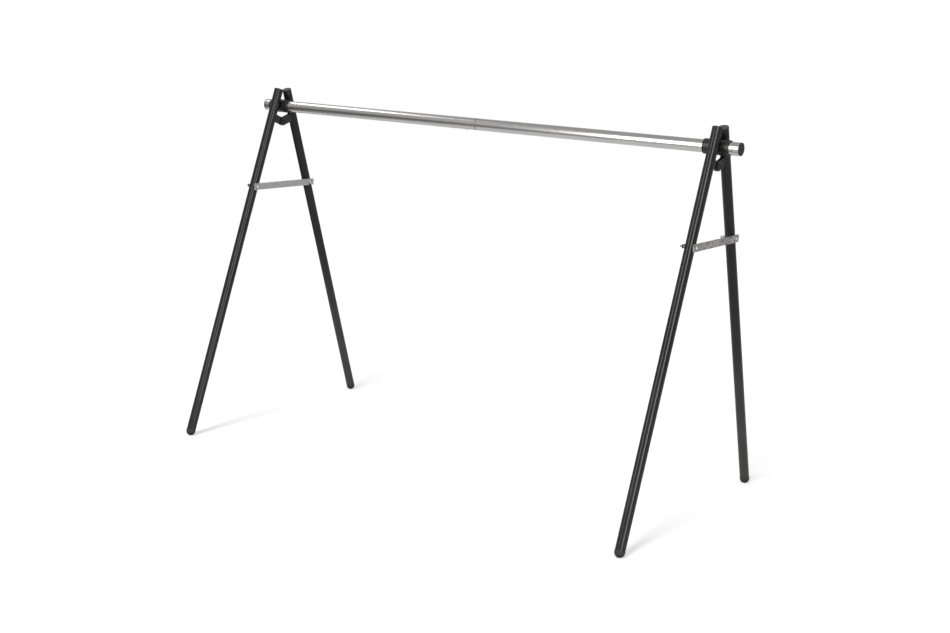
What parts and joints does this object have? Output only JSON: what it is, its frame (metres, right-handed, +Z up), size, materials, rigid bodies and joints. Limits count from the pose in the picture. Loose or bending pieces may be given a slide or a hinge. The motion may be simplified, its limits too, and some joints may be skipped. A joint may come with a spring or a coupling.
{
  "type": "bike stand",
  "caption": "Free-standing stand with a tubular steel crossbar on folding A-frame trestles, for hanging bicycles by the saddle.",
  "frame": {"origin": "on the floor, under the middle of the crossbar", "axes": "+X along the crossbar to its right end, +Y from the front legs to the rear legs, +Z up"},
  "size_m": [2.01, 0.9878, 1.3054],
  "materials": {
    "bright_zinc_tube": "bright zinc plate, drawn tube with fine marks along and across",
    "black_powder_coat": "satin black powder coat with a fine orange-peel texture",
    "black_plastic": "moulded black plastic, matt",
    "foot_rubber": "black rubber-like tips, matt",
    "brace_zinc": "dull zinc plate, mottled",
    "fastener_zinc": "zinc-plated fasteners"
  },
  "bodies": {
    "crossbar_left_half": {"crossbar_left": "bright_zinc_tube", "crossbar_joiner": "fastener_zinc", "joiner_rivets": "fastener_zinc", "crossbar_plug_left": "black_plastic"},
    "crossbar_right_half": {"crossbar_right": "bright_zinc_tube", "crossbar_plug_right": "black_plastic"},
    "left_rear_frame": {"left_sleeve": "black_powder_coat", "left_clamp_screw": "fastener_zinc", "left_rear_leg": "black_powder_coat", "left_rear_ears": "black_powder_coat", "left_hinge_bolt": "fastener_zinc", "left_hinge_washers": "fastener_zinc", "left_hinge_nut": "fastener_zinc", "left_rear_leg_cap": "black_plastic", "left_rear_foot": "foot_rubber", "left_hook_stud": "fastener_zinc", "left_stud_washers": "fastener_zinc", "left_stud_nut": "fastener_zinc"},
    "left_front_frame": {"left_front_leg": "black_powder_coat", "left_front_ear": "black_powder_coat", "left_front_leg_cap": "black_plastic", "left_front_foot": "foot_rubber", "left_brace_bolt": "fastener_zinc", "left_brace_washers": "fastener_zinc", "left_brace_nut": "fastener_zinc"},
    "left_brace_bar": {"left_brace": "brace_zinc"},
    "right_rear_frame": {"right_sleeve": "black_powder_coat", "right_clamp_screw": "fastener_zinc", "right_rear_leg": "black_powder_coat", "right_rear_ears": "black_powder_coat", "right_hinge_bolt": "fastener_zinc", "right_hinge_washers": "fastener_zinc", "right_hinge_nut": "fastener_zinc", "right_rear_leg_cap": "black_plastic", "right_rear_foot": "foot_rubber", "right_hook_stud": "fastener_zinc", "right_stud_washers": "fastener_zinc", "right_stud_nut": "fastener_zinc"},
    "right_front_frame": {"right_front_leg": "black_powder_coat", "right_front_ear": "black_powder_coat", "right_front_leg_cap": "black_plastic", "right_front_foot": "foot_rubber", "right_brace_bolt": "fastener_zinc", "right_brace_washers": "fastener_zinc", "right_brace_nut": "fastener_zinc"},
    "right_brace_bar": {"right_brace": "brace_zinc"}
  },
  "joints": [
    {"name": "crossbar_pull_apart", "type": "slide", "parent": "crossbar_left_half", "child": "crossbar_right_half", "axis": [1, 0, 0], "range_m": [0, 0.14]},
    {"name": "left_trestle_slide", "type": "slide", "parent": "crossbar_left_half", "child": "left_rear_frame", "axis": [1, 0, 0], "range_m": [-0.025, 0.4]},
    {"name": "right_trestle_slide", "type": "slide", "parent": "crossbar_right_half", "child": "right_rear_frame", "axis": [1, 0, 0], "range_m": [-0.4, 0.033]},
    {"name": "left_fold", "type": "hinge", "parent": "left_rear_frame", "child": "left_front_frame", "pos_m": [-0.9255, 0, 1.1745], "axis": [1, 0, 0], "range_deg": [0, 39]},
    {"name": "left_brace_swing", "type": "hinge", "parent": "left_front_frame", "child": "left_brace_bar", "pos_m": [-0.9255, -0.15272, 0.931], "axis": [1, 0, 0], "range_deg": [0, 70.6]},
    {"name": "right_fold", "type": "hinge", "parent": "right_rear_frame", "child": "right_front_frame", "pos_m": [0.9255, 0, 1.1745], "axis": [1, 0, 0], "range_deg": [0, 39]},
    {"name": "right_brace_swing", "type": "hinge", "parent": "right_front_frame", "child": "right_brace_bar", "pos_m": [0.9255, -0.15272, 0.931], "axis": [1, 0, 0], "range_deg": [0, 70.6]}
  ],
  "couplings": [
    {"joint": "left_brace_swing", "follows": "left_fold", "ratio": 1.8077},
    {"joint": "right_brace_swing", "follows": "right_fold", "ratio": 1.8077}
  ]
}
